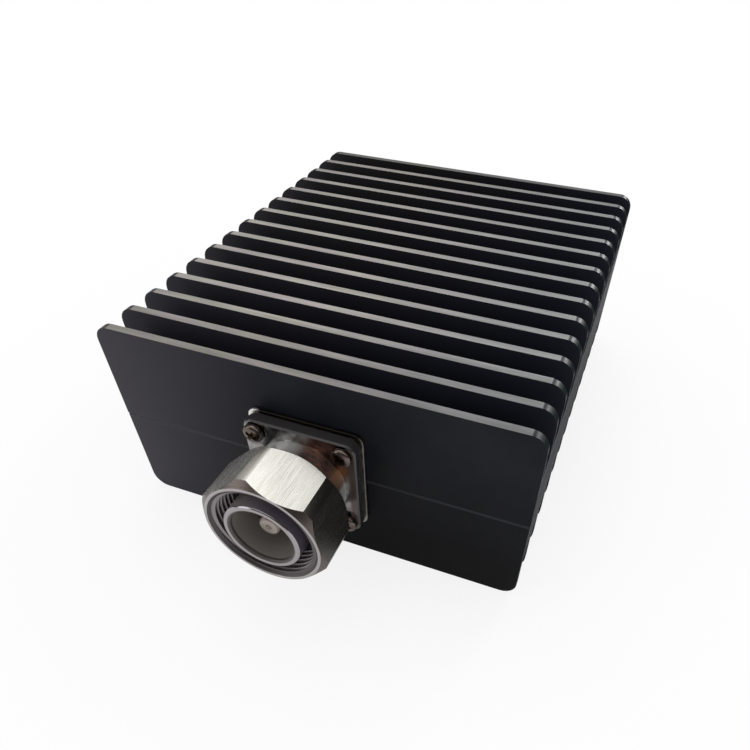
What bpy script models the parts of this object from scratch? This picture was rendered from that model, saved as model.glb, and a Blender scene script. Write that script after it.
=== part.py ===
"""Coaxial termination: two finned aluminium halves round a flange resistor, with a screw-on RF connector.

Units are metres, +Z is up and the connector looks along -Y.
The origin is the middle of the footprint, on the plane of the lower fin tips.
"""
from math import cos, radians, sin, tau

import bmesh
import bpy
from mathutils import Matrix, Vector

# Clearance kept between two pieces that touch on the real object
GAP = 0.0003

# Finned housing, made of two equal halves that meet at mid height
WIDTH = 0.1220
HEIGHT = 0.0594
FIN_COUNT = 15
FIN_PITCH = 0.0100
FIN_THICKNESS = 0.0023
FIN_CORNER_RADIUS = 0.0045
ROOT_RADIUS = 0.0009
BASE_THICKNESS = 0.0154
DEPTH = (FIN_COUNT - 1) * FIN_PITCH + FIN_THICKNESS
SLOT_WIDTH = FIN_PITCH - FIN_THICKNESS
FRONT_Y = -DEPTH / 2
SEAM_Z = HEIGHT / 2

# Connector body: square flange, neck and outer contact, measured out from the front face
FLANGE_SIDE = 0.0320
FLANGE_REAR = 0.0014
FLANGE_FRONT = 0.0050
FLANGE_CORNER_RADIUS = 0.0030
FLANGE_CHAMFER = 0.0004
FLANGE_HOLE_SPACING = 0.0250
FLANGE_HOLE_DEPTH = 0.0075
NECK_RADIUS = 0.0128
NECK_FRONT = 0.0110
NUT_SEAT_RADIUS = 0.0123
NUT_SEAT_FRONT = 0.0168
CONTACT_RADIUS = 0.0106
CONTACT_LIP_RADIUS = 0.0092
CONTACT_BORE_RADIUS = 0.0087
CONTACT_FRONT = 0.0273
CONTACT_EDGE = 0.0003
BEAD_POCKET_RADIUS = 0.0092
BEAD_POCKET_FRONT = 0.0110

# Thin shim between the flange and the housing, a little larger than the flange
SHIM_SIDE = 0.0329
SHIM_CORNER_RADIUS = 0.0025
SHIM_THICKNESS = FLANGE_REAR - 2 * GAP

# Coupling nut
NUT_ACROSS_FLATS = 0.0320
NUT_TURNED_RADIUS = 0.01765
NUT_REAR = 0.0117
NUT_FRONT = 0.0269
NUT_CHAMFER = 0.00165
NUT_TILT = radians(19.0)
NUT_ENTRY_RADIUS = 0.0153
NUT_ENTRY_DEPTH = 0.0012
NUT_THREAD_RADIUS = 0.0137
NUT_THREAD_REAR = 0.0163
NUT_RELIEF_RADIUS = 0.0148
NUT_WALL_FRONT = 0.0146
NUT_BORE_RADIUS = NUT_SEAT_RADIUS + GAP

# Split ring that keeps the nut on the body, in a groove shared by both
GROOVE_REAR = 0.0124
GROOVE_FRONT = 0.0139
BODY_GROOVE_RADIUS = 0.0114
NUT_GROOVE_RADIUS = 0.0139
RING_OPENING = radians(24.0)

# Rubber sealing ring at the foot of the outer contact
GASKET_OUTER_RADIUS = 0.0132
GASKET_THICKNESS = 0.0018

# Inner conductor
PIN_RADIUS = 0.0035
PIN_NOSE_RADIUS = 0.0022
PIN_NOSE_LENGTH = 0.0015
PIN_FRONT = 0.0236
PIN_STEM_RADIUS = 0.0022
PIN_TAIL_RADIUS = 0.0015
PIN_TAIL_LENGTH = 0.0150

# Cavity between the halves
TAIL_BORE_RADIUS = 0.0070
POCKET_START = 0.0090
POCKET_END = 0.0360
POCKET_WIDTH = 0.0370
POCKET_CORNER_RADIUS = 0.0030
POCKET_RISE = 0.0060

# Flange resistor in the cavity, stacked down from the tail of the pin
RESISTOR_START = 0.0190
CARRIER_SIZE = (0.0320, 0.0140, 0.0030)
CARRIER_HOLE_SPACING = 0.0250
SUBSTRATE_SIZE = (0.0130, 0.0130, 0.0015)
COVER_SIZE = (0.0095, 0.0085, 0.0015)
TAB_WIDTH = 0.0040
TAB_THICKNESS = 0.0003
TAB_START = 0.0105
TAB_OVERLAP = 0.0035
TAB_TOP = SEAM_Z - PIN_TAIL_RADIUS - GAP
SUBSTRATE_TOP = TAB_TOP - TAB_THICKNESS - GAP
CARRIER_TOP = SUBSTRATE_TOP - SUBSTRATE_SIZE[2] - GAP
POCKET_FLOOR = CARRIER_TOP - CARRIER_SIZE[2] - GAP

# M3 pan head screws with a cross recess
M3_RADIUS = 0.0015
M3_HOLE_RADIUS = M3_RADIUS + GAP
PAN_HEAD_RADIUS = 0.0028
PAN_HEAD_HEIGHT = 0.0019
PAN_HEAD_SKIRT = 0.45
CROSS_WIDTH = 0.0009
CROSS_LENGTH = 0.0030
CROSS_DEPTH = 0.0011
FLANGE_SCREW_LENGTH = 0.0110
RESISTOR_SCREW_LENGTH = 0.0080
RESISTOR_HOLE_DEPTH = 0.0055

# M4 cap screws that hold the halves together
M4_RADIUS = 0.0020
M4_HOLE_RADIUS = M4_RADIUS + GAP
CAP_HEAD_RADIUS = 0.0035
CAP_HEAD_HEIGHT = 0.0040
CAP_HEAD_EDGE = 0.0003
SOCKET_ACROSS_FLATS = 0.0030
SOCKET_DEPTH = 0.0020
CAP_SCREW_LENGTH = 0.0250
CAP_SCREW_X = 0.0520
CAP_SCREW_SLOTS = (1, FIN_COUNT - 3)
CAP_HOLE_TOP = SEAM_Z + 0.0105
SCREW_POINT = 0.0004

# How far a cutter runs past the face it opens
PAST = 0.0010

# Facets round a full turn
FINE = 60
MEDIUM = 36
SMALL = 18
HOLE = 16


def clear_scene():
    for old in list(bpy.data.objects):
        bpy.data.objects.remove(old, do_unlink=True)


def make_material(name, colour, roughness, metallic):
    material = bpy.data.materials.new(name)
    material.use_nodes = True
    shader = material.node_tree.nodes["Principled BSDF"]
    shader.inputs["Base Color"].default_value = (*colour, 1.0)
    shader.inputs["Roughness"].default_value = roughness
    shader.inputs["Metallic"].default_value = metallic
    return material


def add_object(name, mesh, material=None, location=(0, 0, 0), parent=None):
    obj = bpy.data.objects.new(name, mesh)
    bpy.context.scene.collection.objects.link(obj)
    obj.location = location
    obj.parent = parent
    if material and not mesh.materials:
        mesh.materials.append(material)
    return obj


def to_mesh(name, bm):
    """Merge doubled points, face everything outwards and make the mesh."""
    bmesh.ops.remove_doubles(bm, verts=bm.verts, dist=1e-7)
    bmesh.ops.recalc_face_normals(bm, faces=bm.faces)
    mesh = bpy.data.meshes.new(name)
    bm.to_mesh(mesh)
    bm.free()
    return mesh


def smooth(mesh, angle=radians(30)):
    mesh.shade_smooth()
    mesh.set_sharp_from_angle(angle=angle)


def arc(centre, radius, start, end, steps):
    """Points on an arc in a plane, both ends included, angles in degrees."""
    angles = [radians(start + (end - start) * i / steps) for i in range(steps + 1)]
    return [(centre[0] + radius * cos(a), centre[1] + radius * sin(a)) for a in angles]


def rounded_rectangle(width, height, radius, steps):
    """Outline with rounded corners round the origin, counter-clockwise."""
    x = width / 2 - radius
    y = height / 2 - radius
    corners = ((x, y), (-x, y), (-x, -y), (x, -y))
    return [point for turn_number, centre in enumerate(corners)
            for point in arc(centre, radius, 90 * turn_number, 90 * turn_number + 90, steps)]


def extrude_outline(name, points, place, vector):
    """A prism: the flat outline, mapped by place(u, v), pushed along a vector."""
    bm = bmesh.new()
    face = bm.faces.new([bm.verts.new(place(u, v)) for u, v in points])
    pushed = bmesh.ops.extrude_face_region(bm, geom=[face])
    verts = [item for item in pushed["geom"] if isinstance(item, bmesh.types.BMVert)]
    bmesh.ops.translate(bm, verts=verts, vec=vector)
    return to_mesh(name, bm)


def turn(name, profile, segments, closed=False):
    """Spin (radius, distance in front) points about the Y axis; a closed profile makes a ring."""
    bm = bmesh.new()
    verts = [bm.verts.new((radius, -front, 0)) for radius, front in profile]
    edges = [bm.edges.new(pair) for pair in zip(verts, verts[1:])]
    if closed:
        edges.append(bm.edges.new((verts[-1], verts[0])))
    bmesh.ops.spin(bm, geom=verts + edges, cent=(0, 0, 0), axis=(0, 1, 0), angle=tau,
                   steps=segments, use_merge=True)
    return to_mesh(name, bm)


def box_mesh(name, low, high):
    bm = bmesh.new()
    bmesh.ops.create_cube(bm, size=1)
    bmesh.ops.scale(bm, verts=bm.verts, vec=Vector(high) - Vector(low))
    bmesh.ops.translate(bm, verts=bm.verts, vec=(Vector(high) + Vector(low)) / 2)
    return to_mesh(name, bm)


def rod_mesh(name, radius, start, end, segments):
    """A closed cylinder from one point to another."""
    start, end = Vector(start), Vector(end)
    along = end - start
    place = Matrix.Translation((start + end) / 2) @ along.to_track_quat("Z", "Y").to_matrix().to_4x4()
    bm = bmesh.new()
    bmesh.ops.create_cone(bm, cap_ends=True, segments=segments, radius1=radius, radius2=radius,
                          depth=along.length, matrix=place)
    return to_mesh(name, bm)


def joined(name, meshes):
    """One mesh that holds several closed bodies, used as a cutter."""
    bm = bmesh.new()
    for mesh in meshes:
        bm.from_mesh(mesh)
    mesh = bpy.data.meshes.new(name)
    bm.to_mesh(mesh)
    bm.free()
    return mesh


def combine(obj, mesh, operation="DIFFERENCE"):
    """Cut, add or intersect an object with a mesh given in the object's own space."""
    tool = add_object(mesh.name, mesh, parent=obj)
    tool.hide_render = True
    tool.display_type = "WIRE"
    modifier = obj.modifiers.new(operation.title(), "BOOLEAN")
    modifier.operation = operation
    modifier.solver = "EXACT"
    modifier.object = tool


def applied_mesh(obj, name):
    """Swap an object for its finished mesh, so that copies can share it."""
    bpy.context.view_layer.update()
    graph = bpy.context.evaluated_depsgraph_get()
    mesh = bpy.data.meshes.new_from_object(obj.evaluated_get(graph))
    mesh.name = name
    for tool in list(obj.children):
        bpy.data.objects.remove(tool, do_unlink=True)
    bpy.data.objects.remove(obj, do_unlink=True)
    return mesh


def slot_middle(index):
    """Y of the middle of the slot between a fin and the next one."""
    return FRONT_Y + FIN_THICKNESS + index * FIN_PITCH + SLOT_WIDTH / 2


def flange_screw_places():
    """Offsets of the four flange screws from the connector's axis, as (x, z)."""
    side = FLANGE_HOLE_SPACING / 2
    return [(-side, side), (side, side), (side, -side), (-side, -side)]


def cap_screw_places():
    """World (x, y) of the screws that join the halves, in slots near the corners."""
    return [(side * CAP_SCREW_X, slot_middle(slot)) for slot in CAP_SCREW_SLOTS for side in (-1, 1)]


def resistor_screw_places():
    """World (x, y) of the two screws through the ends of the resistor's flange."""
    middle = FRONT_Y + RESISTOR_START + CARRIER_SIZE[1] / 2
    return [(side * CARRIER_HOLE_SPACING / 2, middle) for side in (-1, 1)]


def half_block(up):
    """Solid block of one half with its two outer edges rounded, up to the seam."""
    x = WIDTH / 2 - FIN_CORNER_RADIUS
    z = HEIGHT / 2 - FIN_CORNER_RADIUS
    outline = [(WIDTH / 2, GAP / 2), *arc((x, z), FIN_CORNER_RADIUS, 0, 90, 6),
               *arc((-x, z), FIN_CORNER_RADIUS, 90, 180, 6), (-WIDTH / 2, GAP / 2)]
    return extrude_outline("half_block", outline,
                           lambda u, v: (u, FRONT_Y, SEAM_Z + up * v), (0, DEPTH, 0))


def fin_slots(up):
    """Cutters for the slots between the fins, with rounded roots."""
    half = SLOT_WIDTH / 2
    inner = half - ROOT_RADIUS
    top = HEIGHT / 2 - BASE_THICKNESS + PAST
    outline = [(-half, top), (half, top),
               *arc((inner, ROOT_RADIUS), ROOT_RADIUS, 0, -90, 2),
               *arc((-inner, ROOT_RADIUS), ROOT_RADIUS, -90, -180, 2)]
    slots = []
    for index in range(FIN_COUNT - 1):
        middle = slot_middle(index)
        slots.append(extrude_outline(
            "fin_slot", outline,
            lambda u, v: (-WIDTH / 2 - PAST, middle + u, SEAM_Z + up * (BASE_THICKNESS + v)),
            (WIDTH + 2 * PAST, 0, 0)))
    return joined("fin_slots", slots)


def resistor_pocket(up):
    """Half of the pocket that the resistor lies in."""
    low = POCKET_FLOOR if up < 0 else SEAM_Z - PAST
    high = SEAM_Z + PAST if up < 0 else SEAM_Z + POCKET_RISE
    middle = FRONT_Y + (POCKET_START + POCKET_END) / 2
    outline = rounded_rectangle(POCKET_WIDTH, POCKET_END - POCKET_START, POCKET_CORNER_RADIUS, 3)
    return extrude_outline("resistor_pocket", outline,
                           lambda u, v: (u, middle + v, low), (0, 0, high - low))


def tail_bore():
    """Bore on the seam that lets the tail of the pin into the pocket."""
    return rod_mesh("tail_bore", TAIL_BORE_RADIUS, (0, FRONT_Y - PAST, SEAM_Z),
                    (0, FRONT_Y + POCKET_START + PAST, SEAM_Z), MEDIUM)


def screw_holes(up):
    """Holes in one half for the flange, cap and resistor screws."""
    holes = []
    for x, z in flange_screw_places():
        if z * up > 0:
            holes.append(rod_mesh("flange_hole", M3_HOLE_RADIUS, (x, FRONT_Y - PAST, SEAM_Z + z),
                                  (x, FRONT_Y + FLANGE_HOLE_DEPTH, SEAM_Z + z), HOLE))
    for x, y in cap_screw_places():
        low = SEAM_Z - PAST if up > 0 else SEAM_Z - BASE_THICKNESS - PAST
        high = CAP_HOLE_TOP if up > 0 else SEAM_Z + PAST
        holes.append(rod_mesh("cap_hole", M4_HOLE_RADIUS, (x, y, low), (x, y, high), HOLE))
    if up < 0:
        for x, y in resistor_screw_places():
            holes.append(rod_mesh("resistor_hole", M3_HOLE_RADIUS, (x, y, POCKET_FLOOR + PAST),
                                  (x, y, POCKET_FLOOR - RESISTOR_HOLE_DEPTH), HOLE))
    return joined("screw_holes", holes)


def make_heatsink(name, up, material):
    """One finned half: block, slots between the fins, pocket and holes."""
    heatsink = add_object(name, half_block(up), material)
    for cutter in (fin_slots(up), resistor_pocket(up), tail_bore(), screw_holes(up)):
        combine(heatsink, cutter)


def flange_plate():
    """Square plate with rounded corners and a small chamfer round both faces."""
    outline = rounded_rectangle(FLANGE_SIDE, FLANGE_SIDE, FLANGE_CORNER_RADIUS, 5)
    plate = extrude_outline("flange_plate", outline,
                            lambda u, v: (u, -FLANGE_REAR, v), (0, FLANGE_REAR - FLANGE_FRONT, 0))
    bm = bmesh.new()
    bm.from_mesh(plate)
    rims = [edge for edge in bm.edges if abs(edge.verts[0].co.y - edge.verts[1].co.y) < GAP]
    bmesh.ops.bevel(bm, geom=rims, offset=FLANGE_CHAMFER, segments=1, profile=0.5,
                    affect="EDGES", material=-1)
    return to_mesh("connector_body", bm)


def make_connector_body(axis, material):
    """Square flange with neck, nut seat and outer contact, bored right through."""
    body = add_object("connector_body", flange_plate(), material, parent=axis)
    buried = FLANGE_FRONT / 2
    combine(body, turn("barrel", [
        (0, buried), (NECK_RADIUS, buried), (NECK_RADIUS, NECK_FRONT),
        (NUT_SEAT_RADIUS, NECK_FRONT), (NUT_SEAT_RADIUS, GROOVE_REAR),
        (BODY_GROOVE_RADIUS, GROOVE_REAR), (BODY_GROOVE_RADIUS, GROOVE_FRONT),
        (NUT_SEAT_RADIUS, GROOVE_FRONT), (NUT_SEAT_RADIUS, NUT_SEAT_FRONT),
        (CONTACT_RADIUS, NUT_SEAT_FRONT), (CONTACT_RADIUS, CONTACT_FRONT - CONTACT_EDGE),
        (CONTACT_RADIUS - CONTACT_EDGE, CONTACT_FRONT), (0, CONTACT_FRONT)], FINE), "UNION")

    flare = CONTACT_LIP_RADIUS - CONTACT_BORE_RADIUS
    combine(body, turn("bore", [
        (0, -PAST), (BEAD_POCKET_RADIUS, -PAST), (BEAD_POCKET_RADIUS, BEAD_POCKET_FRONT),
        (CONTACT_BORE_RADIUS, BEAD_POCKET_FRONT), (CONTACT_BORE_RADIUS, CONTACT_FRONT - flare),
        (CONTACT_LIP_RADIUS, CONTACT_FRONT), (CONTACT_LIP_RADIUS, CONTACT_FRONT + PAST),
        (0, CONTACT_FRONT + PAST)], FINE))

    combine(body, joined("flange_holes", [
        rod_mesh("flange_hole", M3_HOLE_RADIUS, (x, PAST, z), (x, -FLANGE_FRONT - PAST, z), HOLE)
        for x, z in flange_screw_places()]))
    smooth(body.data)


def make_flange_shim(axis, material):
    """Plate with a clearance hole for the bead and four for the flange screws."""
    outline = rounded_rectangle(SHIM_SIDE, SHIM_SIDE, SHIM_CORNER_RADIUS, 4)
    shim = add_object("flange_shim", extrude_outline(
        "flange_shim", outline, lambda u, v: (u, -GAP, v), (0, -SHIM_THICKNESS, 0)), material, parent=axis)
    holes = [rod_mesh("shim_bore", BEAD_POCKET_RADIUS + GAP, (0, PAST, 0), (0, -FLANGE_REAR, 0), MEDIUM)]
    for x, z in flange_screw_places():
        holes.append(rod_mesh("shim_hole", M3_HOLE_RADIUS, (x, PAST, z), (x, -FLANGE_REAR, z), HOLE))
    combine(shim, joined("shim_holes", holes))


def make_coupling_nut(axis, material):
    """Hexagon nut with turned corners, both ends chamfered, stepped bore and ring groove."""
    face_radius = NUT_TURNED_RADIUS - NUT_CHAMFER
    section = [
        (face_radius, NUT_REAR), (NUT_TURNED_RADIUS, NUT_REAR + NUT_CHAMFER),
        (NUT_TURNED_RADIUS, NUT_FRONT - NUT_CHAMFER), (face_radius, NUT_FRONT),
        (NUT_ENTRY_RADIUS, NUT_FRONT), (NUT_THREAD_RADIUS, NUT_FRONT - NUT_ENTRY_DEPTH),
        (NUT_THREAD_RADIUS, NUT_THREAD_REAR),
        (NUT_RELIEF_RADIUS, NUT_THREAD_REAR), (NUT_RELIEF_RADIUS, NUT_WALL_FRONT),
        (NUT_BORE_RADIUS, NUT_WALL_FRONT), (NUT_BORE_RADIUS, GROOVE_FRONT),
        (NUT_GROOVE_RADIUS, GROOVE_FRONT), (NUT_GROOVE_RADIUS, GROOVE_REAR),
        (NUT_BORE_RADIUS, GROOVE_REAR), (NUT_BORE_RADIUS, NUT_REAR)]
    blank = turn("coupling_nut", section, FINE, closed=True)
    nut = add_object("coupling_nut", blank, material, parent=axis)

    corner_radius = NUT_ACROSS_FLATS / 2 / cos(radians(30))
    corners = [radians(60 * side) - NUT_TILT for side in range(6)]
    combine(nut, extrude_outline(
        "hexagon", [(corner_radius * cos(a), corner_radius * sin(a)) for a in corners],
        lambda u, v: (u, PAST - NUT_REAR, v), (0, NUT_REAR - NUT_FRONT - 2 * PAST, 0)), "INTERSECT")
    smooth(nut.data)


def make_retaining_ring(axis, material):
    """Split ring of square section, open at the bottom."""
    inner = BODY_GROOVE_RADIUS + GAP
    outer = NUT_GROOVE_RADIUS - GAP
    rear = GROOVE_REAR + GAP
    front = GROOVE_FRONT - GAP
    bm = bmesh.new()
    section = [bm.verts.new((radius, -distance, 0))
               for radius, distance in ((inner, rear), (outer, rear), (outer, front), (inner, front))]
    end_face = bm.faces.new(section)
    bmesh.ops.rotate(bm, verts=section, cent=(0, 0, 0),
                     matrix=Matrix.Rotation(radians(90) + RING_OPENING / 2, 3, "Y"))
    bmesh.ops.spin(bm, geom=[end_face], cent=(0, 0, 0), axis=(0, 1, 0),
                   angle=tau - RING_OPENING, steps=MEDIUM)
    mesh = to_mesh("retaining_ring", bm)
    smooth(mesh)
    add_object("retaining_ring", mesh, material, parent=axis)


def make_sealing_ring(axis, material):
    """Flat rubber ring with rounded outer edges that seals against the mating connector."""
    inner = CONTACT_RADIUS + GAP
    rear = NUT_SEAT_FRONT + GAP
    front = rear + GASKET_THICKNESS
    edge = GASKET_THICKNESS / 4
    centre_radius = GASKET_OUTER_RADIUS - edge
    section = [*arc((centre_radius, rear + edge), edge, -90, 0, 2),
               *arc((centre_radius, front - edge), edge, 0, 90, 2), (inner, front), (inner, rear)]
    mesh = turn("sealing_ring", section, MEDIUM, closed=True)
    smooth(mesh, radians(50))
    add_object("sealing_ring", mesh, material, parent=axis)


def make_center_pin(axis, material):
    """Inner conductor: rounded nose, contact length, stem in the bead, tail in the pocket."""
    nose_end = PIN_FRONT - PIN_NOSE_LENGTH
    round_width = PIN_RADIUS - PIN_NOSE_RADIUS
    nose = [(PIN_NOSE_RADIUS + round_width * sin(radians(angle)),
             nose_end + PIN_NOSE_LENGTH * cos(radians(angle))) for angle in (0, 25, 50, 70, 90)]
    profile = [(0, PIN_FRONT), *nose,
               (PIN_RADIUS, BEAD_POCKET_FRONT), (PIN_STEM_RADIUS, BEAD_POCKET_FRONT),
               (PIN_STEM_RADIUS, GAP), (PIN_TAIL_RADIUS, GAP),
               (PIN_TAIL_RADIUS, -PIN_TAIL_LENGTH), (0, -PIN_TAIL_LENGTH)]
    mesh = turn("center_pin", profile, MEDIUM)
    smooth(mesh)
    add_object("center_pin", mesh, material, parent=axis)


def make_insulator(axis, material):
    """Bead that centres the pin, held between the body's shoulder and the housing."""
    outer = BEAD_POCKET_RADIUS - GAP
    inner = PIN_STEM_RADIUS + GAP
    front = BEAD_POCKET_FRONT - GAP
    section = [(inner, GAP), (outer, GAP), (outer, front), (inner, front)]
    mesh = turn("pin_insulator", section, MEDIUM, closed=True)
    smooth(mesh)
    add_object("pin_insulator", mesh, material, parent=axis)


def shank_profile(radius, length):
    """Lower part of a screw's profile: under the head, along the shank, point and tip."""
    return [(radius, 0), (radius, SCREW_POINT - length), (radius - SCREW_POINT, -length), (0, -length)]


def pan_screw_mesh(name, length):
    """M3 pan head screw: head towards -Y from the origin, shank towards +Y."""
    skirt = PAN_HEAD_HEIGHT * PAN_HEAD_SKIRT
    crown = [(PAN_HEAD_RADIUS * sin(radians(angle)),
              skirt + (PAN_HEAD_HEIGHT - skirt) * cos(radians(angle))) for angle in (0, 35, 65, 90)]
    profile = [*crown, (PAN_HEAD_RADIUS, 0), *shank_profile(M3_RADIUS, length)]
    screw = add_object(name, turn(name, profile, SMALL))
    for wide, tall in ((CROSS_LENGTH, CROSS_WIDTH), (CROSS_WIDTH, CROSS_LENGTH)):
        combine(screw, box_mesh("cross_arm", (-wide / 2, -PAN_HEAD_HEIGHT - PAST, -tall / 2),
                                (wide / 2, CROSS_DEPTH - PAN_HEAD_HEIGHT, tall / 2)))
    mesh = applied_mesh(screw, name)
    smooth(mesh)
    return mesh


def cap_screw_mesh(name, length):
    """M4 cap screw: head towards -Z from the origin, shank towards +Z."""
    profile = [(0, CAP_HEAD_HEIGHT), (CAP_HEAD_RADIUS - CAP_HEAD_EDGE, CAP_HEAD_HEIGHT),
               (CAP_HEAD_RADIUS, CAP_HEAD_HEIGHT - CAP_HEAD_EDGE), (CAP_HEAD_RADIUS, 0),
               *shank_profile(M4_RADIUS, length)]
    screw = add_object(name, turn(name, profile, SMALL))
    socket_radius = SOCKET_ACROSS_FLATS / 2 / cos(radians(30))
    combine(screw, rod_mesh("hexagon_socket", socket_radius, (0, -CAP_HEAD_HEIGHT - PAST, 0),
                            (0, SOCKET_DEPTH - CAP_HEAD_HEIGHT, 0), 6))
    mesh = applied_mesh(screw, name)
    mesh.transform(Matrix.Rotation(radians(90), 4, "X"))
    smooth(mesh)
    return mesh


def make_flange_screws(axis, material):
    mesh = pan_screw_mesh("flange_screw", FLANGE_SCREW_LENGTH)
    for number, (x, z) in enumerate(flange_screw_places(), start=1):
        screw = add_object(f"flange_screw_{number}", mesh, material,
                           (x, -FLANGE_FRONT - GAP, z), axis)
        screw.rotation_euler.y = radians(35 * number)


def make_housing_screws(material):
    mesh = cap_screw_mesh("housing_screw", CAP_SCREW_LENGTH)
    for number, (x, y) in enumerate(cap_screw_places(), start=1):
        add_object(f"housing_screw_{number}", mesh, material,
                   (x, y, SEAM_Z - BASE_THICKNESS - GAP))


def make_resistor_flange(middle, material):
    """Metal carrier with a screw hole at each end, seated on the floor of the pocket."""
    width, length, height = CARRIER_SIZE
    bottom = CARRIER_TOP - height
    carrier = add_object("resistor_flange", box_mesh(
        "resistor_flange", (-width / 2, middle - length / 2, bottom),
        (width / 2, middle + length / 2, CARRIER_TOP)), material)
    combine(carrier, joined("carrier_holes", [
        rod_mesh("carrier_hole", M3_HOLE_RADIUS, (x, y, bottom - PAST), (x, y, CARRIER_TOP + PAST), HOLE)
        for x, y in resistor_screw_places()]))


def make_resistor_stack(middle, ceramic, cover_ceramic, silver):
    """Film substrate on the carrier, the tab soldered to its front edge and the cover behind it."""
    width, length, height = SUBSTRATE_SIZE
    front = middle - length / 2
    add_object("resistor_substrate", box_mesh(
        "resistor_substrate", (-width / 2, front, SUBSTRATE_TOP - height),
        (width / 2, middle + length / 2, SUBSTRATE_TOP)), ceramic)

    tab_end = front + TAB_OVERLAP
    add_object("resistor_tab", box_mesh(
        "resistor_tab", (-TAB_WIDTH / 2, FRONT_Y + TAB_START, TAB_TOP - TAB_THICKNESS),
        (TAB_WIDTH / 2, tab_end, TAB_TOP)), silver)

    width, length, height = COVER_SIZE
    add_object("resistor_cover", box_mesh(
        "resistor_cover", (-width / 2, tab_end + GAP, SUBSTRATE_TOP + GAP),
        (width / 2, tab_end + GAP + length, SUBSTRATE_TOP + GAP + height)), cover_ceramic)


def make_resistor_screws(material):
    mesh = pan_screw_mesh("resistor_screw", RESISTOR_SCREW_LENGTH)
    mesh.transform(Matrix.Rotation(radians(-90), 4, "X"))
    for number, (x, y) in enumerate(resistor_screw_places(), start=1):
        add_object(f"resistor_screw_{number}", mesh, material, (x, y, CARRIER_TOP + GAP))


def build():
    clear_scene()
    anodised = make_material("black_anodised", (0.020, 0.020, 0.024), 0.42, 0.6)
    bright = make_material("bright_plated", (0.62, 0.60, 0.58), 0.12, 1.0)
    tinned = make_material("tinned_brass", (0.50, 0.46, 0.40), 0.38, 1.0)
    brushed = make_material("brushed_plated", (0.66, 0.65, 0.61), 0.30, 1.0)
    spring = make_material("spring_steel", (0.40, 0.40, 0.40), 0.35, 1.0)
    silver = make_material("silver_plated", (0.74, 0.71, 0.64), 0.22, 1.0)
    rubber = make_material("black_rubber", (0.020, 0.018, 0.018), 0.75, 0.0)
    fluoropolymer = make_material("white_fluoropolymer", (0.85, 0.85, 0.82), 0.45, 0.0)
    steel = make_material("zinc_steel", (0.50, 0.46, 0.42), 0.28, 1.0)
    black_steel = make_material("black_steel", (0.030, 0.030, 0.032), 0.40, 0.8)
    plated = make_material("plated_copper", (0.60, 0.56, 0.48), 0.30, 1.0)
    ceramic = make_material("grey_ceramic", (0.55, 0.54, 0.50), 0.55, 0.0)
    cover_ceramic = make_material("white_ceramic", (0.86, 0.85, 0.80), 0.50, 0.0)

    make_heatsink("upper_heatsink", 1, anodised)
    make_heatsink("lower_heatsink", -1, anodised)
    make_housing_screws(black_steel)

    axis = add_object("connector_axis", None, location=(0, FRONT_Y, SEAM_Z))
    make_flange_shim(axis, tinned)
    make_connector_body(axis, bright)
    make_coupling_nut(axis, brushed)
    make_retaining_ring(axis, spring)
    make_sealing_ring(axis, rubber)
    make_center_pin(axis, silver)
    make_insulator(axis, fluoropolymer)
    make_flange_screws(axis, steel)

    middle = FRONT_Y + RESISTOR_START + CARRIER_SIZE[1] / 2
    make_resistor_flange(middle, plated)
    make_resistor_stack(middle, ceramic, cover_ceramic, silver)
    make_resistor_screws(steel)


build()
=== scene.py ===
import math
import bmesh
import bpy
from mathutils import Matrix, Vector


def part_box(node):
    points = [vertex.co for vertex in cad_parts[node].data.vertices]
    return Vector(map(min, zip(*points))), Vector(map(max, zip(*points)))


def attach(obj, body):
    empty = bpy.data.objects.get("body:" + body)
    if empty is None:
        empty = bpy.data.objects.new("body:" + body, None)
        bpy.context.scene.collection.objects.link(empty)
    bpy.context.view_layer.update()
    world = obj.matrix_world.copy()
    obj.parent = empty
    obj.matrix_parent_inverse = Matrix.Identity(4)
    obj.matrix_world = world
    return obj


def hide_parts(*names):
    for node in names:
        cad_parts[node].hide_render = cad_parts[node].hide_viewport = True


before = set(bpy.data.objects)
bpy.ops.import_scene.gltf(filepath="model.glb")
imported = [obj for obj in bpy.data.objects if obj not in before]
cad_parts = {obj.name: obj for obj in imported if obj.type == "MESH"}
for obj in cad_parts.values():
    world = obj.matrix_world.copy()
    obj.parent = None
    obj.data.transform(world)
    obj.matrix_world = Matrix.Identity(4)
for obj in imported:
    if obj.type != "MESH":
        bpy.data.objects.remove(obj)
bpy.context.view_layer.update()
print("frame loaded:", len(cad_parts), "CAD nodes")

# Where things are, in metres, read off the CAD nodes
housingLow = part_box("lower_heatsink")[0]
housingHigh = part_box("upper_heatsink")[1]
frontY = housingLow.y
backY = housingHigh.y
seamZ = (housingLow.z + housingHigh.z) / 2
halfHeight = (housingHigh.z - housingLow.z) / 2
axisPoint = Vector((0, frontY, seamZ))  # where the connector's axis meets the front face

# Small distances in metres and angles in degrees that the mesh helpers share
meshSetup = {
    "merge": 1e-7,
    "nodeMerge": 2e-6,  # for the loose triangles of a CAD node
    "nodeFlat": 0.4,
    "sharpAngle": 32,
    "smoothAngle": 35,
    "bevelSteps": 2,
}


# Small helpers for node trees

def addNode(tree, kind, **settings):
    node = tree.nodes.new(kind)
    for key, value in settings.items():
        setattr(node, key, value)
    return node


def feed(tree, socket, value):
    if isinstance(value, bpy.types.NodeSocket):
        tree.links.new(value, socket)
    else:
        socket.default_value = value


def newMaterial(name):
    material = bpy.data.materials.new(name)
    material.use_nodes = True
    tree = material.node_tree
    return material, tree, tree.nodes["Principled BSDF"]


def objectCoords(tree):
    return addNode(tree, "ShaderNodeTexCoord").outputs["Object"]


def moved(tree, vector, location=(0, 0, 0), scale=(1, 1, 1)):
    mapping = addNode(tree, "ShaderNodeMapping")
    feed(tree, mapping.inputs["Vector"], vector)
    mapping.inputs["Location"].default_value = location
    mapping.inputs["Scale"].default_value = scale
    return mapping.outputs["Vector"]


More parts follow.
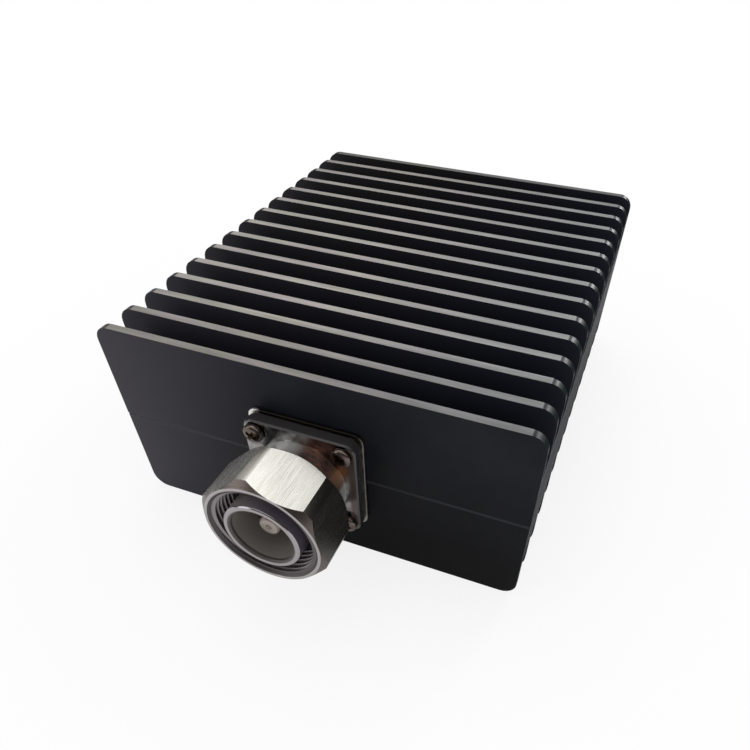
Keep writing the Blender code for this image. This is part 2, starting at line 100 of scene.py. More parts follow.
def noise(tree, vector, scale, detail=3.0, roughness=0.55):
    if isinstance(scale, tuple):  # three scales stretch the pattern
        vector, scale = moved(tree, vector, scale=scale), 1.0
    node = addNode(tree, "ShaderNodeTexNoise")
    feed(tree, node.inputs["Vector"], vector)
    node.inputs["Scale"].default_value = scale
    node.inputs["Detail"].default_value = detail
    node.inputs["Roughness"].default_value = roughness
    return node.outputs["Fac"]


def spread(tree, value, low, high, newLow=0.0, newHigh=1.0):
    node = addNode(tree, "ShaderNodeMapRange")
    feed(tree, node.inputs["Value"], value)
    for key, number in (("From Min", low), ("From Max", high),
                        ("To Min", newLow), ("To Max", newHigh)):
        feed(tree, node.inputs[key], number)
    return node.outputs["Result"]


def uneven(tree, pattern, low=0.0, high=1.0, middle=(0.3, 0.7)):
    # most values of a noise pattern lie in this middle
    return spread(tree, pattern, *middle, low, high)


def maths(tree, operation, first, second=0.0):
    node = addNode(tree, "ShaderNodeMath", operation=operation)
    feed(tree, node.inputs[0], first)
    feed(tree, node.inputs[1], second)
    return node.outputs[0]


def times(tree, first, *others):
    for other in others:
        first = maths(tree, "MULTIPLY", first, other)
    return first


def window(tree, value, rise, fall):
    # one between the two edges of a band, and nothing beyond them
    return times(tree, spread(tree, value, *rise), spread(tree, value, *fall))


def mixNumbers(tree, factor, first, second):
    node = addNode(tree, "ShaderNodeMix", data_type="FLOAT")
    for index, value in ((0, factor), (2, first), (3, second)):  # the number sockets
        feed(tree, node.inputs[index], value)
    return node.outputs[0]


def asColour(value):
    return value if isinstance(value, bpy.types.NodeSocket) else (*value, 1)


def mixColours(tree, factor, first, second, blend="MIX"):
    node = addNode(tree, "ShaderNodeMix", data_type="RGBA", blend_type=blend)
    feed(tree, node.inputs[0], factor)
    for index, value in ((6, first), (7, second)):  # the colour sockets
        feed(tree, node.inputs[index], asColour(value))
    return node.outputs[2]


def scaled(tree, colour, amount):
    node = addNode(tree, "ShaderNodeVectorMath", operation="SCALE")
    feed(tree, node.inputs[0], colour)
    feed(tree, node.inputs["Scale"], amount)
    return node.outputs[0]


def bump(tree, shader, height, strength, distance):
    node = addNode(tree, "ShaderNodeBump")
    feed(tree, node.inputs["Height"], height)
    node.inputs["Strength"].default_value = strength
    node.inputs["Distance"].default_value = distance
    feed(tree, shader.inputs["Normal"], node.outputs["Normal"])


def splitVector(tree, vector):
    node = addNode(tree, "ShaderNodeSeparateXYZ")
    feed(tree, node.inputs[0], vector)
    return node.outputs


def faceDirection(tree):
    return splitVector(tree, addNode(tree, "ShaderNodeTexCoord").outputs["Normal"])


def axisCoords(tree):
    return moved(tree, objectCoords(tree), location=-axisPoint)


def farFrom(tree, x, z, spot, squeeze=1.0):
    # distance from a spot on the front, which squeeze makes lower than it is wide
    squareX = maths(tree, "POWER", maths(tree, "SUBTRACT", x, spot[0]), 2.0)
    squareZ = maths(tree, "POWER", maths(tree, "SUBTRACT", z, spot[1]), 2.0)
    return maths(tree, "SQRT", maths(tree, "ADD", squareX, times(tree, squareZ, squeeze)))


def splitAxis(tree):
    # x, distance in front of the housing, height over the axis, and radius about the axis
    x, y, z = splitVector(tree, axisCoords(tree))
    return x, times(tree, y, -1.0), z, farFrom(tree, x, z, (0, 0))


def turnedRings(tree, front, radius, scale):
    # fine tool marks that run round the axis
    joint = addNode(tree, "ShaderNodeCombineXYZ")
    feed(tree, joint.inputs[0], radius)
    feed(tree, joint.inputs[1], front)
    return noise(tree, joint.outputs[0], scale, detail=2.0)


# Small helpers for meshes

def mergeDoubles(bm, distance=meshSetup["merge"]):
    bmesh.ops.remove_doubles(bm, verts=bm.verts, dist=distance)


def finishMesh(bm, name, materials, smoothAngle=meshSetup["smoothAngle"], weighted=True,
               recalculate=True):
    if recalculate:
        mergeDoubles(bm)
        bmesh.ops.recalc_face_normals(bm, faces=bm.faces)
    mesh = bpy.data.meshes.new(name)
    bm.to_mesh(mesh)
    bm.free()
    piece = bpy.data.objects.new(name, mesh)
    bpy.context.scene.collection.objects.link(piece)
    for material in materials:
        mesh.materials.append(material)
    mesh.shade_smooth()
    mesh.set_sharp_from_angle(angle=math.radians(smoothAngle))
    if weighted:
        modifier = piece.modifiers.new("evenShading", "WEIGHTED_NORMAL")
        modifier.keep_sharp = True
    return piece


def place(piece, body, node):
    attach(piece, body)
    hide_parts(node)


def meshOfNode(node):
    bm = bmesh.new()
    bm.from_mesh(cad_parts[node].data)
    mergeDoubles(bm, meshSetup["nodeMerge"])
    bmesh.ops.dissolve_limit(bm, angle_limit=math.radians(meshSetup["nodeFlat"]),
                             verts=bm.verts, edges=bm.edges)
    return bm


def bevelEdges(bm, edges, width, steps, clamp=False):
    bmesh.ops.bevel(bm, geom=edges, offset=width, segments=steps, profile=0.5, affect="EDGES",
                    material=-1, clamp_overlap=clamp)


def softenEdges(bm, width, angle=meshSetup["sharpAngle"]):
    sharp = [edge for edge in bm.edges
             if edge.is_manifold and edge.calc_face_angle() > math.radians(angle)]
    bevelEdges(bm, sharp, width, meshSetup["bevelSteps"], clamp=True)


def drawProfile(bm, points):
    # points are radius and distance in front of the housing
    corners = [bm.verts.new((radius, -front, 0)) for radius, front in points]
    return corners + [bm.edges.new(pair) for pair in zip(corners, corners[1:])]


def spinProfile(bm, profile, steps, **settings):
    bmesh.ops.spin(bm, geom=profile, cent=(0, 0, 0), axis=(0, 1, 0), angle=math.tau,
                   steps=steps, **settings)


def turnProfile(points, steps):
    bm = bmesh.new()
    spinProfile(bm, drawProfile(bm, points), steps, use_merge=True)
    mergeDoubles(bm)
    return bm


def cutAway(bm, point, direction):
    everything = bm.verts[:] + bm.edges[:] + bm.faces[:]
    made = bmesh.ops.bisect_plane(bm, geom=everything, dist=meshSetup["merge"], plane_co=point,
                                  plane_no=direction, clear_outer=True)
    return [item for item in made["geom_cut"] if isinstance(item, bmesh.types.BMEdge)]


def quarterTurn(steps):
    return [math.radians(90 * step / steps) for step in range(steps + 1)]


def toAxis(bm):
    bmesh.ops.translate(bm, verts=bm.verts, vec=axisPoint)


# Camera at the photograph's viewing angle

cameraSetup = {
    "place": (0.06689, -0.17398, 0.14785),
    "turn": (43.103, -0.668, 20.965),  # degrees about X, Y and Z
    "lens": 29.404,
    "sensor": 36,
    "shift": (-0.0475, 0.1552),
    "nearest": 0.005,
}


def makeCamera(setup):
    data = bpy.data.cameras.new("photoCamera")
    camera = bpy.data.objects.new("photoCamera", data)
    bpy.context.scene.collection.objects.link(camera)
    camera.location = setup["place"]
    camera.rotation_euler = [math.radians(angle) for angle in setup["turn"]]
    data.lens = setup["lens"]
    data.sensor_width = setup["sensor"]
    data.shift_x, data.shift_y = setup["shift"]
    data.clip_start = setup["nearest"]
    bpy.context.scene.camera = camera


makeCamera(cameraSetup)
print("camera set")


# White room, pale floor and soft lamps

studioSetup = {
    "whiteStrength": 1.0,
    "roomStrength": 0.50,
    "roomColour": (1.0, 1.0, 1.0),
    "floorColour": (0.95, 0.95, 0.95),
    "floorRoughness": 0.9,
    "floorRadius": 4.0,
    "floorHeight": -0.0001,
    "fadeStart": 0.05,
    "fadeEnd": 0.19,
    "fadeLeast": 0.80,  # share of plain white in the floor close to the object
    "mirrorLeast": 0.10,  # the same for what shiny surfaces show of the floor
    "segments": 96,
    "bandRadius": 1.5,
    "bandHeights": (0.05, 0.14, 0.70, 0.86, 1.30),  # white, dark, dark, white, top of the walls
    "bandTilt": 0.25,  # the dark band stands higher in front of the object than behind it
    "bandStrength": 0.07,
}

lampSetup = [
    # name, place, aim, size, watts, colour
    ("skyLamp", (-0.35, 0.30, 1.30), (0, 0, 0), 1.1, 5.5, (1.0, 1.0, 1.0)),
    ("leftLamp", (-1.00, -0.85, 0.45), (-0.02, -0.05, 0.03), 0.7, 2.2, (0.96, 0.97, 1.0)),
    ("rimLamp", (0.36, 1.00, 0.58), (0.05, 0.0, 0.05), 0.30, 5.0, (0.96, 1.0, 0.97)),
]


def backgroundRays(tree):
    # one for the rays of the camera, of mirrors and of glass
    path = addNode(tree, "ShaderNodeLightPath")
    seen = maths(tree, "MAXIMUM", path.outputs["Is Camera Ray"], path.outputs["Is Glossy Ray"])
    return maths(tree, "MAXIMUM", seen, path.outputs["Is Transmission Ray"])


def mixShaders(tree, factor, first, second):
    node = addNode(tree, "ShaderNodeMixShader")
    for index, value in enumerate((factor, first.outputs[0], second.outputs[0])):
        feed(tree, node.inputs[index], value)
    return node.outputs[0]


def background(tree, colour, strength):
    node = addNode(tree, "ShaderNodeBackground")
    node.inputs["Color"].default_value = (*colour, 1)
    node.inputs["Strength"].default_value = strength
    return node


def makeWorld(setup):
    world = bpy.data.worlds.new("whiteRoom")
    world.use_nodes = True
    tree = world.node_tree
    tree.nodes.clear()
    lit = background(tree, setup["roomColour"], setup["roomStrength"])
    seen = background(tree, (1, 1, 1), setup["whiteStrength"])
    out = addNode(tree, "ShaderNodeOutputWorld")
    feed(tree, out.inputs[0], mixShaders(tree, backgroundRays(tree), lit, seen))
    bpy.context.scene.world = world


def floorMaterial(setup):
    material, tree, shader = newMaterial("paleFloor")
    shader.inputs["Base Color"].default_value = (*setup["floorColour"], 1)
    shader.inputs["Roughness"].default_value = setup["floorRoughness"]
    shader.inputs["Specular IOR Level"].default_value = 0.0
    away = addNode(tree, "ShaderNodeVectorMath", operation="LENGTH")
    feed(tree, away.inputs[0], objectCoords(tree))
    path = addNode(tree, "ShaderNodeLightPath")
    least = mixNumbers(tree, path.outputs["Is Glossy Ray"], setup["fadeLeast"],
                       setup["mirrorLeast"])
    fade = spread(tree, away.outputs["Value"], setup["fadeStart"], setup["fadeEnd"], least, 1.0)
    glow = addNode(tree, "ShaderNodeEmission")
    glow.inputs["Strength"].default_value = setup["whiteStrength"]
    mixed = mixShaders(tree, times(tree, fade, backgroundRays(tree)), shader, glow)
    feed(tree, tree.nodes["Material Output"].inputs["Surface"], mixed)
    return material


def makeFloor(setup):
    bm = bmesh.new()
    bmesh.ops.create_circle(bm, cap_ends=True, segments=setup["segments"],
                            radius=setup["floorRadius"])
    bmesh.ops.translate(bm, verts=bm.verts, vec=(0, 0, setup["floorHeight"]))
    finishMesh(bm, "floor", [floorMaterial(setup)], weighted=False)


def makeDarkRoom(setup):
    # the dim walls of the room, which only shiny surfaces show
    low, dark, stillDark, high, top = setup["bandHeights"]
    material, tree, _ = newMaterial("dimWalls")
    _, y, height = splitVector(tree, objectCoords(tree))
    tilted = maths(tree, "ADD", height, times(tree, y, setup["bandTilt"]))
    share = times(tree, spread(tree, height, low, dark), spread(tree, tilted, high, stillDark))
    glow = addNode(tree, "ShaderNodeEmission")
    feed(tree, glow.inputs["Strength"],
         mixNumbers(tree, share, setup["whiteStrength"], setup["bandStrength"]))
    feed(tree, tree.nodes["Material Output"].inputs["Surface"], glow.outputs[0])
    bm = bmesh.new()
    bmesh.ops.create_cone(bm, segments=setup["segments"], radius1=setup["bandRadius"],
                          radius2=setup["bandRadius"], depth=top - low)
    bmesh.ops.translate(bm, verts=bm.verts, vec=(0, 0, (top + low) / 2))
    walls = finishMesh(bm, "walls", [material], weighted=False)
    for rays in ("camera", "diffuse", "transmission", "volume_scatter", "shadow"):
        setattr(walls, "visible_" + rays, False)


def makeLamps(lamps):
    for name, spot, aim, size, watts, colour in lamps:
        data = bpy.data.lights.new(name, "AREA")
        data.shape = "DISK"
        data.size = size
        data.energy = watts
        data.color = colour
        lamp = bpy.data.objects.new(name, data)
        bpy.context.scene.collection.objects.link(lamp)
        lamp.location = spot
        lamp.rotation_euler = (Vector(spot) - Vector(aim)).to_track_quat("Z", "Y").to_euler()


makeWorld(studioSetup)
makeFloor(studioSetup)
makeDarkRoom(studioSetup)
makeLamps(lampSetup)
bpy.context.scene.view_settings.view_transform = "Standard"
print("studio set")


# Finned halves: black anodised all over, the fin tips machined bare afterwards
# A pair of limits says where a change starts and ends: across is x, a depth is measured
# inwards from the face it names, and a turn is how far a face looks sideways

housingLook = {
    "edge": 0.00022,
    "black": (0.0080, 0.0085, 0.0115),
    "blackWorn": (0.0120, 0.0125, 0.0165),
    "wearCloud": {"scale": 55, "detail": 4},
    "wearRange": (0.35, 0.75),
    "faceShade": (0.35, 1.5),  # bottom and top
    "shadeHeights": (0.012, 0.050),
    "paintedSheen": (0.0575, 0.0535, 0.066),
    "sheenAcross": (-0.010, -0.060),  # from the middle of the front towards its left edge
    "sheenDepth": (0.012, 0.060),
    "sheenBack": 0.35,  # what is left of it at the back
    "slotNear": (0.032, 0.031, 0.044),
    "slotFar": (0.027, 0.025, 0.022),
    "slotRight": (0.024, 0.025, 0.040),
    "slotAcross": (-0.02, 0.05),
    "slotDepth": (0.0005, 0.0012),
    "seamHighlight": (0.060, 0.062, 0.070),
    "seamHighlightLeft": (0.095, 0.091, 0.104),
    "seamAcross": (-0.030, 0.010),
    "seamHeight": (0.00042, 0.00026),
    "cornerReflectionTint": (0.020, 0.027, 0.027),
    "cornerTurn": ((0.30, 0.45), (0.97, 0.93)),
    "gloss": 0.07,
    "glossTurn": (0.40, 0.55),
    "burnish": 0.48,
    "burnishTurn": ((0.25, 0.38), (0.72, 0.44)),
    "sideGloss": (0.04, 0.155),
    "sideTurn": (0.95, 0.99),
    "sawnLines": {"scale": (5200, 7, 900), "roughness": 0.6},
    "sawnRange": (0.38, 0.62),
    "coatLines": {"scale": (30, 5200, 5200)},
    "roughness": (0.36, 0.48),
    "sideRoughness": 0.58,
    "sideRoughTurn": (0.80, 0.95),
    "tipDepth": (0.00008, 0.00003),
    "bare": (0.44, 0.425, 0.375),
    "barePink": (0.44, 0.405, 0.395),
    "pinkPatches": {"scale": (70, 90, 90), "detail": 1},
    "pinkRange": (0.40, 0.60),
    "bareRight": (0.42, 0.42, 0.425),
    "bareAcross": (-0.010, 0.040),
    "bareLines": {"scale": (45, 7000, 900), "detail": 4, "roughness": 0.7},
    "bareCloud": {"scale": (60, 400, 100)},
    "bareMix": (0.55, 0.45),  # how much the lines and the cloud count
    "bareRange": (0.35, 0.65),
    "bareShare": 0.58,  # how light the darkest lines of the bare tips are
    "tipShadeEnds": (0.62, 0.78, 0.74),  # how much painted shade darkens the tips at the front, the back and the right
    "nearDepth": (0.005, 0.030),
    "farStart": 0.015,
    "rightAcross": (-0.015, 0.050),
    "lastFinShade": 0.42,
    "lastFinDepth": (0.0050, 0.0045),
    "bareRoughness": (0.26, 0.42),
    "bump": (0.10, 0.00004),
}


def behindFront(depths):
    return [frontY + depth for depth in depths]


def blackCoat(tree, look, x, y, z, off, cloud):
    black = mixColours(tree, spread(tree, cloud, *look["wearRange"]), look["black"],
                       look["blackWorn"])
    # painted shade: the black is darker towards the bottom and lighter towards the top
    black = scaled(tree, black, spread(tree, z, *look["shadeHeights"], *look["faceShade"]))
    # a painted sheen: the black is lighter and bluer towards the front's left edge, less so
    # further back
    paintedSheen = times(tree, spread(tree, x, *look["sheenAcross"]),
                 spread(tree, y, *behindFront(look["sheenDepth"]), 1.0, look["sheenBack"]))
    black = mixColours(tree, paintedSheen, black, look["paintedSheen"])
    # the slots are lighter than the black in patches, bluer near the front and on the right,
    # darker and warmer towards the back
    slotTone = mixColours(tree, spread(tree, y, frontY, backY), look["slotNear"], look["slotFar"])
    slotTone = mixColours(tree, spread(tree, x, *look["slotAcross"]), slotTone, look["slotRight"])
    slotTone = mixColours(tree, cloud, slotTone, black)
    black = mixColours(tree, spread(tree, y, *behindFront(look["slotDepth"])), black, slotTone)
    # a painted highlight: a lighter line where the halves meet, lighter still on the left
    seam = mixColours(tree, spread(tree, x, *look["seamAcross"]), look["seamHighlightLeft"],
                      look["seamHighlight"])
    return mixColours(tree, spread(tree, off, *look["seamHeight"]), black, seam)


def bareTips(tree, look, x, y, coords, lines):
    cloud = noise(tree, coords, **look["bareCloud"])
    lineShare, cloudShare = look["bareMix"]
    marks = maths(tree, "ADD", times(tree, lines, lineShare), times(tree, cloud, cloudShare))
    pink = spread(tree, noise(tree, coords, **look["pinkPatches"]), *look["pinkRange"])
    bare = mixColours(tree, pink, look["bare"], look["barePink"])
    bare = mixColours(tree, spread(tree, x, *look["bareAcross"]), bare, look["bareRight"])
    # painted shade: the bare tips are darker at the front, towards the back, to the right and on
    # the last fin
    nearEnd, farEnd, rightEnd = look["tipShadeEnds"]
    lastFinShade = [backY - depth for depth in look["lastFinDepth"]]
    return scaled(tree, bare, times(
        tree, spread(tree, y, *behindFront(look["nearDepth"]), nearEnd, 1.0),
        spread(tree, y, look["farStart"], backY, 1.0, farEnd),
        spread(tree, x, *look["rightAcross"], 1.0, rightEnd),
        spread(tree, marks, *look["bareRange"], look["bareShare"], 1.0),
        spread(tree, y, *lastFinShade, 1.0, look["lastFinShade"])))


def housingMaterial(look):
    material, tree, shader = newMaterial("blackAnodised")
    coords = objectCoords(tree)
    x, y, z = splitVector(tree, coords)
    off = maths(tree, "ABSOLUTE", maths(tree, "SUBTRACT", z, seamZ))
    tip = spread(tree, off, *[halfHeight - depth for depth in look["tipDepth"]])
    sideways = maths(tree, "ABSOLUTE", faceDirection(tree)[0])
    lines = noise(tree, coords, **look["coatLines"])
    bareLines = noise(tree, coords, **look["bareLines"])
    black = blackCoat(tree, look, x, y, z, off, noise(tree, coords, **look["wearCloud"]))
    # a painted reflection: the rounded fin corners are a lighter green-grey than the rest of the
    # black
    corner = window(tree, sideways, *look["cornerTurn"])
    black = mixColours(tree, corner, black, look["cornerReflectionTint"])
    bare = bareTips(tree, look, x, y, coords, bareLines)
    feed(tree, shader.inputs["Base Color"], mixColours(tree, tip, black, bare))
    feed(tree, shader.inputs["Metallic"], tip)
    # the rounded fin corners are burnished where they meet the bare tips
    gloss = spread(tree, sideways, *look["glossTurn"], look["gloss"], 0.0)
    burnish = window(tree, sideways, *look["burnishTurn"])
    gloss = mixNumbers(tree, burnish, gloss, look["burnish"])
    sawn = spread(tree, noise(tree, coords, **look["sawnLines"]), *look["sawnRange"],
                  *look["sideGloss"])
    gloss = mixNumbers(tree, spread(tree, sideways, *look["sideTurn"]), gloss, sawn)
    feed(tree, shader.inputs["Specular IOR Level"], gloss)
    coat = mixNumbers(tree, spread(tree, sideways, *look["sideRoughTurn"]),
                      uneven(tree, lines, *look["roughness"]), look["sideRoughness"])
    feed(tree, shader.inputs["Roughness"],
         mixNumbers(tree, tip, coat, uneven(tree, bareLines, *look["bareRoughness"])))
    bump(tree, shader, mixNumbers(tree, tip, lines, bareLines), *look["bump"])
    return material


def makeHousing(look):
    material = housingMaterial(look)
    for node in ("upper_heatsink", "lower_heatsink"):
        bm = meshOfNode(node)
        softenEdges(bm, look["edge"])
        piece = finishMesh(bm, node.replace("_heatsink", "Half"), [material], recalculate=False)
        place(piece, "housing", node)
        print(node, "finished:", len(piece.data.polygons), "faces")


makeHousing(housingLook)


# Coupling nut: turned blank, six milled flats, cut inner thread

nutLook = {
    # radius and distance in front of the housing, from the thread's front end
    # round the outside to its rear end
    "outline": [
        (0.01460, 0.02620), (0.01530, 0.02690), (0.01600, 0.02690), (0.01765, 0.02525),
        (0.01765, 0.01335), (0.01600, 0.01170), (0.01280, 0.01170), (0.01260, 0.01190),
        (0.01260, 0.01240), (0.01390, 0.01240), (0.01390, 0.01390), (0.01260, 0.01390),
        (0.01260, 0.01460), (0.01480, 0.01460), (0.01480, 0.01630),
    ],
    "acrossFlats": 0.0320,
    "tilt": 19.0,
    "steps": 144,
    "merge": 3e-5,
    "edge": 0.00012,
    "sharpAngle": 8,
    "smoothAngle": 30,
    "threadPitch": 0.0015,
    "threadRear": 0.0163,
    "threadFront": 0.0262,
    "threadMinor": 0.0137,
    "threadMajor": 0.0145,
    "threadCrest": (0.0, 0.25),  # shares of the pitch
    "threadRoot": (0.5625, 0.6875),
    "threadRunIn": 1.6,  # pitches that are cut off behind the rear end
    "threadSpare": 2,  # and turns in front of the front end
    "flat": (0.74, 0.73, 0.675),
    "flatDark": (0.57, 0.56, 0.505),
    "drawnLines": {"scale": (5600, 160, 5600), "detail": 4, "roughness": 0.7},
    "broadLines": {"scale": (1100, 60, 1100), "detail": 2},
    "lineMix": (0.6, 0.4),
    "lineRange": (0.35, 0.60),
    "leftTurn": (-0.60, -0.68),  # turns are how far a face looks to the right
    "leftHeights": (0.0030, 0.0125),
    "leftShade": (0.65, 1.34),
    "leftStreak": 0.55,
    "leftStreakRange": (0.38, 0.58),
    "paintedShadeFlat": (0.24, 0.23, 0.225),
    "paintedShadeFlatTurn": (0.40, 0.48),
    "paintedShadeEdge": (0.12, 0.115, 0.11),
    "paintedShadeEdgeTurn": (0.88, 0.94),
    "paintedShadeCorner": (0.50, 0.485, 0.465),
    "paintedShadeCornerTurn": ((-0.56, -0.50), (-0.12, -0.18)),
    "paintedShadeCornerUp": (0.2, 0.4),
    "outerRadius": (0.01515, 0.01525),
    "outerFront": (0.02690, 0.02685),
    "frontChamfer": (0.04284, 0.04278),  # front and radius added up
    "rearChamfer": (-0.00424, -0.00418),  # front less radius
    "chamfer": (0.13, 0.105, 0.095),
    "rim": (0.43, 0.40, 0.405),
    "rimRadius": (0.01602, 0.01608),
    "inside": (0.31, 0.275, 0.285),
    "insideRadius": (0.01528, 0.01520),
    "countersink": (0.095, 0.082, 0.085),
    "countersinkFront": (0.02612, 0.02622),
    "ringScale": 5200,
    "insideRoughness": 0.42,
    "roughness": (0.19, 0.31),
    "anisotropy": 0.65,
    "metal": 0.86,
    "bump": (0.11, 0.00003),
}


def brushedFlats(tree, look, z, drawn, broad):
    facing = faceDirection(tree)
    drawnShare, broadShare = look["lineMix"]
    streak = maths(tree, "ADD", times(tree, drawn, drawnShare), times(tree, broad, broadShare))
    flat = mixColours(tree, spread(tree, streak, *look["lineRange"]), look["flatDark"],
                      look["flat"])
    # the left flats are streakier, and a painted sheen makes them lighter towards their upper
    # corner and darker lower down
    shade = times(tree, spread(tree, z, *look["leftHeights"], *look["leftShade"]),
                  spread(tree, streak, *look["leftStreakRange"], look["leftStreak"], 1.0))
    left = spread(tree, facing[0], *look["leftTurn"])
    flat = scaled(tree, flat, mixNumbers(tree, left, 1.0, shade))
    # painted shade: the right flats are darker than the rest, and one turned corner a little
    dullAndShaded = mixColours(tree, spread(tree, facing[0], *look["paintedShadeEdgeTurn"]), look["paintedShadeEdge"],
                      look["paintedShadeFlat"])
    flat = mixColours(tree, spread(tree, facing[0], *look["paintedShadeFlatTurn"]), flat, dullAndShaded,
                      "MULTIPLY")
    strip = times(tree, window(tree, facing[0], *look["paintedShadeCornerTurn"]),
                  spread(tree, facing[2], *look["paintedShadeCornerUp"]))
    return mixColours(tree, strip, flat, look["paintedShadeCorner"], "MULTIPLY")


def nutMaterial(look):
    material, tree, shader = newMaterial("brushedNut")
    _, front, z, radius = splitAxis(tree)
    coords = axisCoords(tree)
    drawn = noise(tree, coords, **look["drawnLines"])
    flat = brushedFlats(tree, look, z, drawn, noise(tree, coords, **look["broadLines"]))
    hollow = spread(tree, radius, *look["insideRadius"])
    sunk = times(tree, hollow, spread(tree, front, *look["countersinkFront"]))
    # painted dark reflection: the turned chamfers are painted dark brown, while the front rim
    # keeps a lighter colour
    turned = mixColours(tree, spread(tree, radius, *look["rimRadius"]), look["rim"],
                        look["chamfer"])
    turned = mixColours(tree, hollow, turned, look["inside"])
    turned = mixColours(tree, sunk, turned, look["countersink"])
    # the flats and corners are inside the two chamfers
    side = times(tree, spread(tree, radius, *look["outerRadius"]),
                 spread(tree, front, *look["outerFront"]))
    middle = times(
        tree, spread(tree, maths(tree, "ADD", front, radius), *look["frontChamfer"]),
        spread(tree, maths(tree, "SUBTRACT", front, radius), *look["rearChamfer"]))
    outside = times(tree, side, middle)
    feed(tree, shader.inputs["Base Color"], mixColours(tree, outside, turned, flat))
    shader.inputs["Metallic"].default_value = look["metal"]
    marks = mixNumbers(tree, outside, turnedRings(tree, front, radius, look["ringScale"]), drawn)
    feed(tree, shader.inputs["Roughness"],
         mixNumbers(tree, hollow, uneven(tree, marks, *look["roughness"]),
                    look["insideRoughness"]))
    shader.inputs["Anisotropic"].default_value = look["anisotropy"]
    tangent = addNode(tree, "ShaderNodeTangent", direction_type="RADIAL", axis="Y")
    feed(tree, shader.inputs["Tangent"], tangent.outputs[0])
    bump(tree, shader, marks, *look["bump"])
    return material


def threadStrip(look):
    # the profile is spun forward by one pitch a turn, then cut square at both ends
    pitch, steps = look["threadPitch"], look["steps"]
    low = look["threadRear"] - look["threadRunIn"] * pitch
    turns = int((look["threadFront"] - low) / pitch) + look["threadSpare"]
    tooth = ([(share, look["threadMinor"]) for share in look["threadCrest"]]
             + [(share, look["threadMajor"]) for share in look["threadRoot"]])
    bm = bmesh.new()
    profile = drawProfile(bm, [(radius, low + (turn + share) * pitch)
                               for turn in range(turns) for share, radius in tooth])
    spinProfile(bm, profile, steps, dvec=(0, -pitch / steps, 0))
    mergeDoubles(bm, meshSetup["nodeMerge"])
    for front, direction in ((look["threadFront"], -1), (look["threadRear"], 1)):
        cutAway(bm, (0, -front, 0), (0, direction, 0))
    strip = bpy.data.meshes.new("threadStrip")
    bm.to_mesh(strip)
    bm.free()
    return strip


def openRim(bm, front):
    return [edge for edge in bm.edges if edge.is_boundary
            and all(abs(vert.co.y + front) < meshSetup["nodeMerge"] for vert in edge.verts)]


def makeNut(look):
    bm = turnProfile(look["outline"], look["steps"])
    for side in range(6):
        angle = math.radians(60 * side + 30 - look["tilt"])
        normal = Vector((math.cos(angle), 0, math.sin(angle)))
        rim = cutAway(bm, normal * look["acrossFlats"] / 2, normal)
        bmesh.ops.edgeloop_fill(bm, edges=rim)
    mergeDoubles(bm, look["merge"])
    softenEdges(bm, look["edge"], angle=look["sharpAngle"])
    strip = threadStrip(look)
    bm.from_mesh(strip)
    bpy.data.meshes.remove(strip)
    for front in (look["threadFront"], look["threadRear"]):
        bmesh.ops.bridge_loops(bm, edges=openRim(bm, front))
    toAxis(bm)
    piece = finishMesh(bm, "couplingNut", [nutMaterial(look)], look["smoothAngle"])
    place(piece, "nut", "coupling_nut")
    print("coupling nut finished:", len(piece.data.polygons), "faces")


makeNut(nutLook)


# Connector body: polished plating on flange and neck, dull outer contact and bore
# The pairs of limits lie on x, on the height over the axis, on the radius, or in front
# of the housing, as their names say

bodyLook = {
    "edge": 0.00010,
    "lipRadius": 0.0094,
    "lipFront": 0.0272,
    "lipBevel": (0.0003, 3),
    "plate": (0.40, 0.39, 0.38),
    "plateDull": (0.15, 0.145, 0.14),
    "plateCloud": {"scale": 190},
    "plateRange": (0.40, 0.62),
    "bright": (0.85, 0.84, 0.83),
    "brightPlace": (-0.0012, 0.0097),
    "brightReach": (0.0042, 0.0020),
    "brightSqueeze": 1.6,
    "paintedBrownReflection": (0.40, 0.27, 0.225),
    "reflectionDark": 0.45,
    "reflectionPlace": (0.0075, 0.0088),
    "reflectionReach": (0.0086, 0.0056),
    "reflectionFront": (0.0056, 0.0052),
    "reflectionCloud": {"scale": 260, "detail": 4},
    "reflectionRange": (0.28, 0.46),
    "mottleCloud": {"scale": 520, "detail": 4},
    "mottleRange": (0.42, 0.60),
    "orangeReflection": (0.33, 0.21, 0.13),
    "orangeReflectionAcross": (0.0096, 0.0110),
    "orangeReflectionHeights": ((0.0090, 0.0070), (0.0046, 0.0060)),
    "brownMargin": (0.13, 0.095, 0.085),
    "marginAcross": (0.0132, 0.0142),
    "neck": (0.42, 0.415, 0.41),
    "neckFront": ((0.0051, 0.0053), (0.0116, 0.0114)),
    "neckAcross": (-0.0005, 0.0030),
    "neckBelow": (0.0036, 0.0022),
    "neckDarkReflection": (0.062, 0.046, 0.045),
    "neckCopperReflection": (0.17, 0.088, 0.066),
    "neckOrangeReflection": (0.26, 0.150, 0.090),
    "neckOrangeReflectionHeights": ((0.0086, 0.0070), (0.0030, 0.0046)),
    "flangeEdgeShade": (0.060, 0.056, 0.056),
    "flangeCorner": 0.013,  # the corner radius is drawn from here
    "flangeBorder": (0.00255, 0.00265),
    "barrel": (0.36, 0.31, 0.31),
    "barrelShadeRight": (0.17, 0.145, 0.19),
    "barrelFront": ((0.0170, 0.0176), (0.0269, 0.0267)),
    "barrelAcross": (-0.007, 0.004),
    "contactEnd": (0.37, 0.34, 0.355),
    "contactFront": (0.02690, 0.02700),
    "contactRadius": (0.00900, 0.00910),
    "bore": (0.34, 0.31, 0.285),
    "boreRadius": (0.00950, 0.00944),
    "boreFront": (0.02732, 0.02724),
    "lip": (0.085, 0.075, 0.068),
    "lipShadeFront": (0.0260, 0.0264),
    "dullMetal": 0.35,
    "ringScale": 4800,
    "roughness": (0.11, 0.21),
    "boreRoughness": 0.42,
    "bump": (0.05, 0.00003),
}


